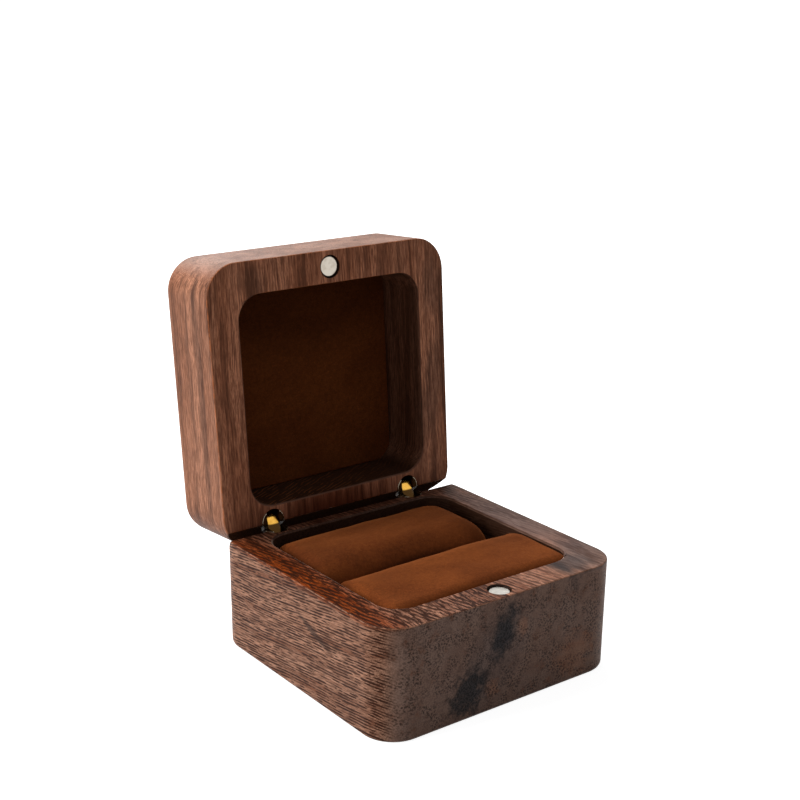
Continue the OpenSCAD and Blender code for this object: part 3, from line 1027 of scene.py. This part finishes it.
BASE_TIMBER = Timber(
    tones=(rgb(160, 119, 97), rgb(152, 110, 88), rgb(84, 52, 38), rgb(152, 108, 84)),
    lie=(7, (3, 0, 11), 2.0), layers=(0.45, 0, 0.9), pores=1.0, walls=(0.92, 0.92, 0.1),
    stains=BASE_STAINS_AND_PAINTED_LIGHT, calm=((20, -10, 0), (24, 50, 3)), streaky=((-14, -6, 0.3), (26, 60, 1.8), 1.0),
    pocket_edge=((1, 1, 0), rgb(186, 158, 142)))

LID_STAINS_AND_PAINTED_LIGHT = (
    # Left side, outside; painted shade at the hinge end of the rim, at its middle and at the left corner
    # there, next to the base; painted light over the whole rim
    StainAndPaintedLight((25, 0, -4.5), (5, 60, 1.9), rgb(150, 150, 155), ragged=1.0, strength=0.6),
    StainAndPaintedLight((0, 0, -16), (90, 90, 3), rgb(206, 210, 218), ragged=0.3),
    StainAndPaintedLight((0, 26, 0), (60, 15, 4), rgb(144, 118, 104), ragged=0.6, strength=0.8),
    StainAndPaintedLight((2, 24, 0), (19, 14, 3), rgb(156, 124, 108), ragged=0.6, strength=0.9),
    StainAndPaintedLight((25, 27, -9), (6, 14, 14), rgb(176, 168, 172), ragged=1.0, strength=0.8),
    StainAndPaintedLight((0, -6, 0.3), (90, 90, 0.9), (2.45, 2.3, 2.2, 1)),
    # Ink on the rim
    StainAndPaintedLight((-22, 2, 0), (5, 26, 3), INK, (0, 0, 14), 1.2, 0.5),
    StainAndPaintedLight((-23, -16, 0), (6, 12, 1.2), INK, ragged=1.8, strength=0.5),
    StainAndPaintedLight((16, -21, 0), (5, 6, 1.2), INK, ragged=1.8, strength=0.5))

LID_TIMBER = Timber(
    tones=(rgb(164, 113, 87), rgb(139, 91, 67), rgb(78, 45, 30), rgb(172, 96, 52)),
    lie=(1, (31, 8, 4), 3.0), layers=(0.7, 0, 0.7), pores=0.3, walls=(0.3, 0.92, 1.0),
    stains=LID_STAINS_AND_PAINTED_LIGHT, calm=((0, 24, 0), (60, 10, 4)), streaky=((0, -10, 0.3), (90, 40, 1.8), 0.5),
    pocket_edge=((0, -1, 0), rgb(112, 78, 62)))


def dress(piece, materials):
    """Gives a piece its materials."""
    slots = piece.data.materials
    if len(slots) > 0:
        slots.clear()
    for material in materials:
        slots.append(material)


def build_halves():
    """The two wooden halves."""
    # The rear bevels get dark unoiled walnut: painted shade in the crease between lid and base
    raw = raw_walnut("raw walnut")
    sizes = HalfSizes("base", BASE_PLACE, "cushion_board", CUSHION_GAP, BASE_BEVEL, FOOT_ROUND)
    base = wood_half("walnut_base", sizes)
    base.matrix_world = BASE_PLACE
    dress(base, (walnut("walnut of the base", BASE_TIMBER, sizes), raw))
    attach(base, "base")
    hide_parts("base_block")
    sizes = HalfSizes("lid", LID_PLACE, "liner_board", LINER_GAP, LID_BEVEL, LID_ROUND)
    lid = wood_half("walnut_lid", sizes)
    lid.matrix_world = LID_PLACE
    dress(lid, (walnut("walnut of the lid", LID_TIMBER, sizes), raw))
    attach(lid, "lid")
    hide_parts("lid_block")


def build_cushion():
    """The two suede rolls."""
    # Painted shade on the front roll near its right end, and on the back roll in the slot between the rolls
    suedes = (suede("suede of the front roll", rgb(104, 52, 21), rgb(90, 43, 17),
                    (16, -4, 20), (8, 8, 8), rgb(226, 220, 214)),
              suede("suede of the back roll", rgb(104, 52, 22), rgb(88, 42, 17),
                    (0, 0.7, 14.3), (19.5, 5.8, 5.3), rgb(144, 132, 118)))
    low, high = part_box("front_cover")
    shape = Roll(low, high, left=2.6 * MM, right=1.6 * MM, front=2.4 * MM, back=6.2 * MM)
    front = suede_roll("front_roll", shape, crown=0.25 * MM, seed=1.7)
    low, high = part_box("back_cover")
    shape = Roll(low, high, left=3.4 * MM, right=6 * MM, front=6.2 * MM, back=5.6 * MM)
    back = suede_roll("back_roll", shape, crown=0.35 * MM, seed=5.3)
    for piece, side, material in ((front, "front", suedes[0]), (back, "back", suedes[1])):
        dress(piece, (material,))
        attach(piece, "base")
        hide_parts(f"{side}_cover", f"{side}_foam")


def build_liner():
    """Suede panel at the bottom of the lid pocket."""
    low, high = half_box("liner_suede", LID_PLACE)
    r = LINER_ROUND
    panel = suede_roll("lid_liner", Roll(low, high, r, r, r, r), crown=0.02 * MM, seed=9.1)
    panel.matrix_world = LID_PLACE
    # Painted shade on the liner at the end away from the hinges, next to the pocket wall
    material = suede("suede of the liner", rgb(104, 54, 23), rgb(94, 47, 19),
                     (0, -26, -12), (44, 30, 14), rgb(190, 184, 176))
    dress(panel, (material,))
    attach(panel, "lid")
    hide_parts("liner_suede")


def link_block(side, brass):
    """The three link plates of a hinge, ground to one crowned block."""
    low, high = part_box(f"{side}_plate_outer")
    for name in ("middle", "inner"):
        node_low, node_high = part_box(f"{side}_plate_{name}")
        low.x, high.x = min(low.x, node_low.x), max(high.x, node_high.x)
    low_pin, high_pin = Vector(joint("left_link_swing")["pos_m"]), Vector(joint("lid_swing")["pos_m"])
    start = math.atan2(high_pin.z - low_pin.z, high_pin.y - low_pin.y)
    radius = low_pin.y - low.y
    middle, half = (low.x + high.x) / 2, (high.x - low.x) / 2
    rings = []
    for i in range(LINK_STEPS + 1):
        share = -math.cos(math.pi * i / LINK_STEPS)
        reach = radius - LINK_CROWN * (1 - (1 - abs(share) ** CROWN_POWER) ** (1 / CROWN_POWER))
        x = middle + half * share
        ring = []
        for centre, turn in ((low_pin, math.pi / 2), (high_pin, -math.pi / 2)):
            for k in range(LINK_END_STEPS + 1):
                a = start + turn + math.pi * k / LINK_END_STEPS
                ring.append((x, centre.y + reach * math.cos(a), centre.z + reach * math.sin(a)))
        rings.append(ring)
    block = stack(f"{side}_link_block", rings)
    dress(block, (brass,))
    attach(block, f"{side}_links")
    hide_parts(f"{side}_plate_outer", f"{side}_plate_middle", f"{side}_plate_inner")


def barrel_lip(side, half, place, bright):
    """Thin polished lips on both cheeks of a barrel mouth."""
    low, high = half_box(f"{side}_{half}_barrel", place)
    centre = (low + high) / 2
    radius = (high.x - low.x) / 2 - LIP
    opening = math.acos(LIP_FROM / radius)
    for share, cheek in ((-1, "west"), (1, "east")):
        rings = []
        for i in range(LIP_STEPS + 1):
            a = -opening + (opening + math.asin(LIP_TO / radius)) * i / LIP_STEPS
            out = Vector((share * math.cos(a), math.sin(a), 0))
            at = Vector((centre.x, centre.y, -LIP_SUNK)) + radius * out
            rings.append([at + LIP * (out * math.cos(b) + Vector((0, 0, 1)) * math.sin(b))
                          for b in (2 * math.pi * k / LIP_SIDES for k in range(LIP_SIDES))])
        lip = stack(f"{side}_{half}_lip_{cheek}", rings)
        lip.matrix_world = place
        dress(lip, (bright,))
        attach(lip, half)


def rounded_ends(low, high, rounding):
    """Places along an axis with the inset there, for two round ends."""
    places = []
    for i in range(MAGNET_ROUND_STEPS + 1):
        a = math.pi / 2 * i / MAGNET_ROUND_STEPS
        along, inset = rounding * (1 - math.sin(a)), rounding * (1 - math.cos(a))
        places += [(low + along, inset), (high - along, inset)]
    return sorted(places)


def magnet_disc(side, place, nickel):
    """Nickel-plated disc with a round edge."""
    low, high = half_box(f"{side}_magnet", place)
    radius = (high.x - low.x) / 2 - MAGNET_SEAT
    centre_y = (low.y + high.y) / 2
    rings = []
    for z, inset in rounded_ends(low.z, high.z - MAGNET_SUNK, MAGNET_ROUND):
        rings.append([(x, y, z) for x, y in circle(0, centre_y, radius - inset, BORE_STEPS)])
    disc = stack(f"{side}_magnet_disc", rings)
    disc.matrix_world = place
    dress(disc, (nickel,))
    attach(disc, side)
    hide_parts(f"{side}_magnet")


def soften(barrel):
    """Small rounding on the edges of a barrel."""
    modifier = barrel.modifiers.new("eased edges", "BEVEL")
    modifier.limit_method = "ANGLE"
    modifier.angle_limit = BARREL_SHARP
    modifier.width = BARREL_EASE
    modifier.segments = BARREL_SEGMENTS
    modifier.harden_normals = True


def build_metal():
    """Link blocks, barrels with their lips, pins and magnets."""
    brass = metal("polished brass", rgb(236, 190, 96), rgb(206, 150, 58), rough=0.2)
    # Barrels: tarnished brass, darkened further to near black as painted shade inside the bores
    aged_and_shaded = metal("aged brass", rgb(58, 38, 18), rgb(26, 17, 9), rough=0.34)
    nickel = metal("nickel plate", rgb(200, 196, 187), rgb(186, 181, 172), rough=0.28)
    warm_nickel = metal("warm nickel plate", rgb(196, 187, 174), rgb(178, 167, 152), rough=0.28)
    lip_brass = metal("bright lip", rgb(176, 162, 142), rgb(110, 94, 74), rough=0.18)
    link_brass = metal("link brass", rgb(240, 184, 82), rgb(214, 160, 66), rough=0.2,
                       painted_shade_below=LINK_SHADE_BELOW)
    for side in ("left", "right"):
        link_block(side, link_brass)
        for half, place in (("base", BASE_PLACE), ("lid", LID_PLACE)):
            barrel = frame["nodes"][f"{side}_{half}_barrel"]
            dress(barrel, (aged_and_shaded,))
            soften(barrel)
            barrel_lip(side, half, place, lip_brass)
            dress(frame["nodes"][f"{side}_{half}_pin"], (brass,))
    magnet_disc("base", BASE_PLACE, nickel)
    magnet_disc("lid", LID_PLACE, warm_nickel)


def dress_boards():
    """Cardboard under the suede."""
    board = cardboard("grey board")
    for name in ("cushion_board", "liner_board"):
        dress(frame["nodes"][name], (board,))


build_halves()
build_cushion()
build_liner()
build_metal()
dress_boards()
add_camera()
add_world()
add_floor()
for lamp_values in LAMPS:
    add_lamp(*lamp_values)

bpy.context.scene.view_settings.view_transform = "Standard"
